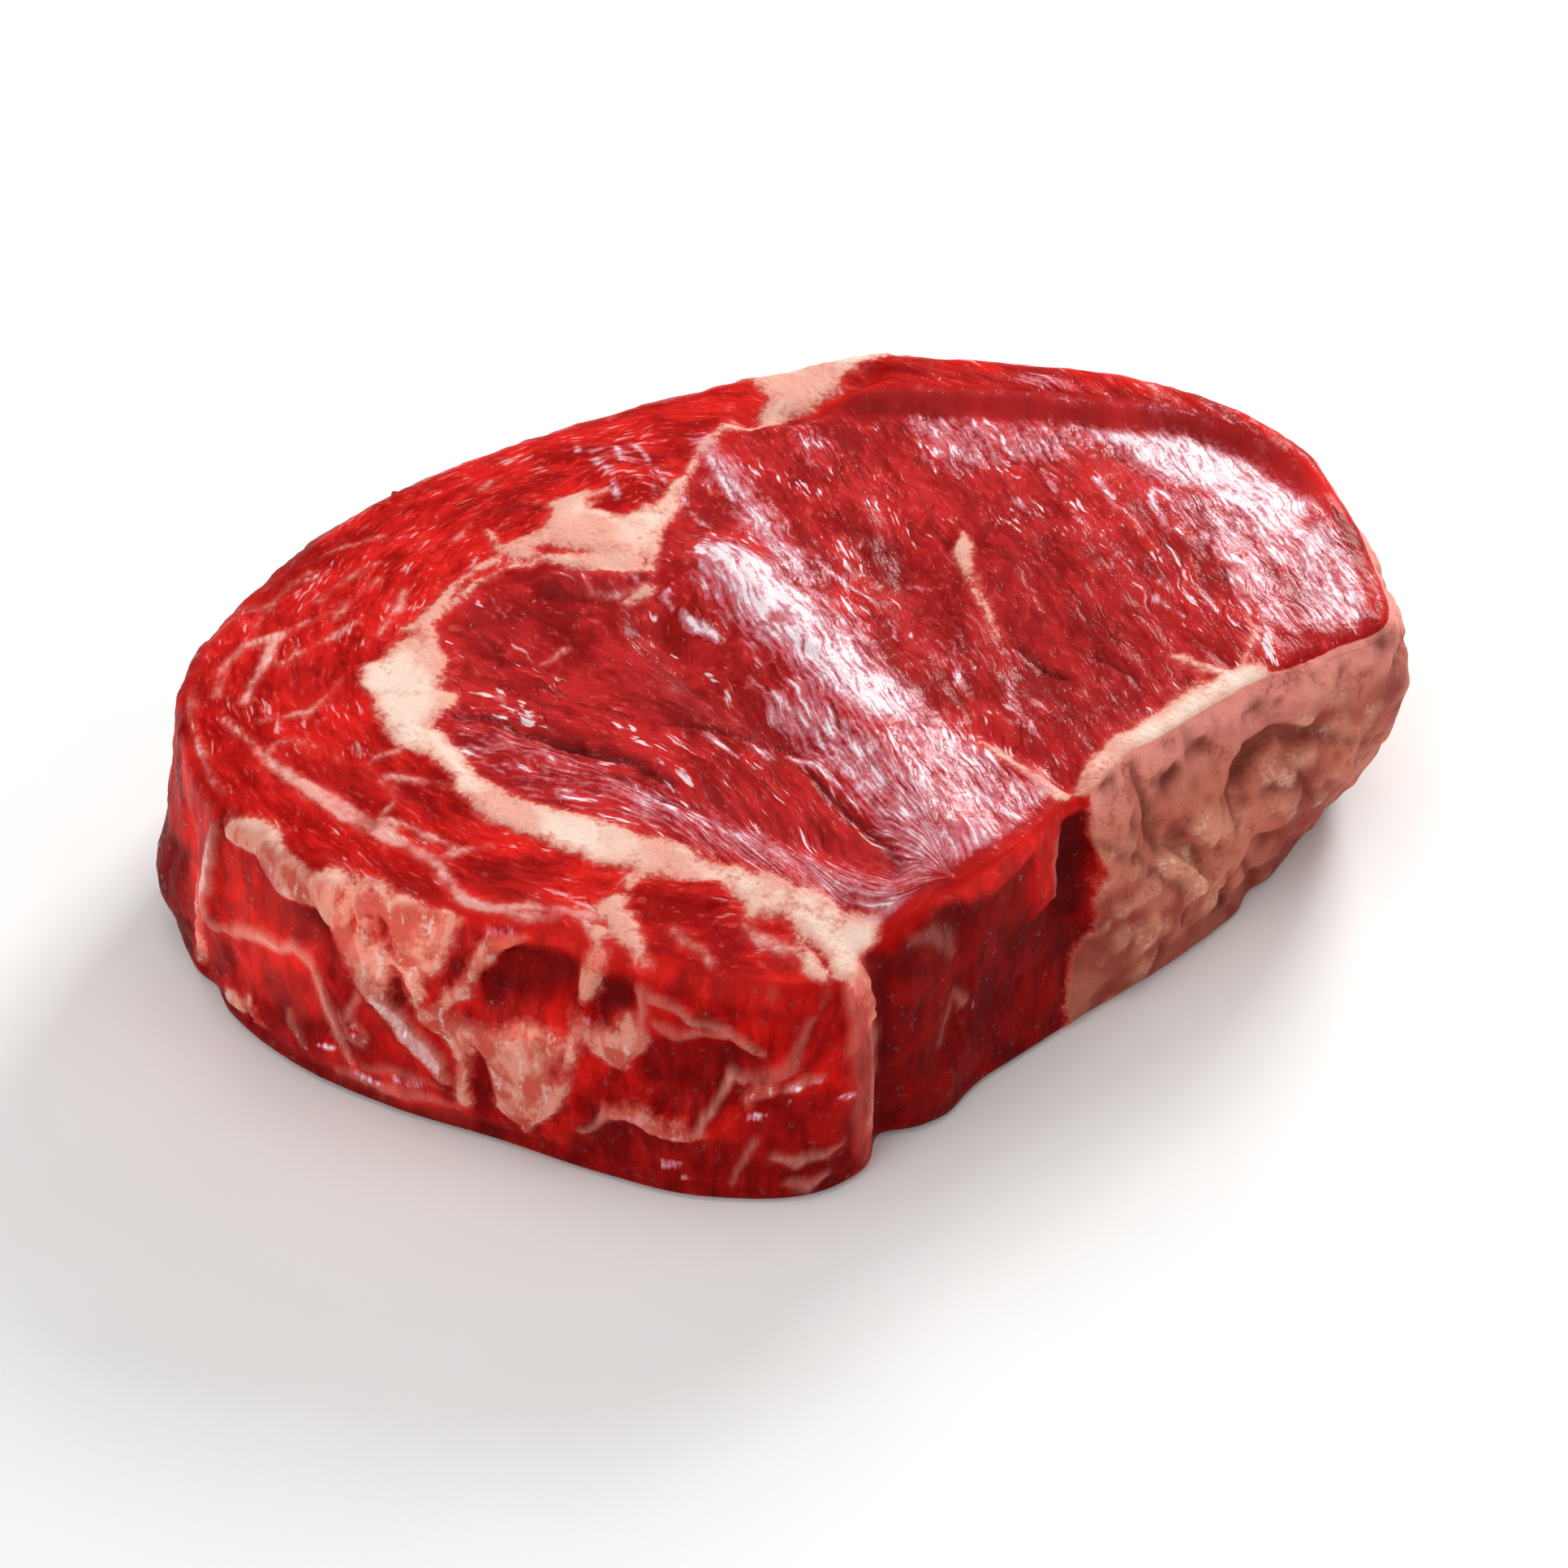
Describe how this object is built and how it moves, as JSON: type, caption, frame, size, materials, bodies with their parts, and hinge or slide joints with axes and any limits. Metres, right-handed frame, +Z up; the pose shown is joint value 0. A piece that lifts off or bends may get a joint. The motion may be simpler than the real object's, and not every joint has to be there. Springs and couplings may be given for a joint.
{
  "type": "raw ribeye steak",
  "caption": "Thick-cut raw boneless ribeye steak lying flat, with a marbled eye and cap, a cream fat seam and a lumpy fat edge.",
  "frame": {"origin": "middle of the steak's box, on the plane of the lower cut face", "axes": "+X along the steak's length, from the cap muscle to the end with the fat edge; +Z up out of the upper cut face; the pointed front corner is towards -Y"},
  "size_m": [0.156, 0.1218, 0.037],
  "materials": {
    "steak": "moist raw beef: crimson muscle, cream fat, wet sheen"
  },
  "bodies": {
    "root": {"steak": "steak"}
  },
  "joints": []
}
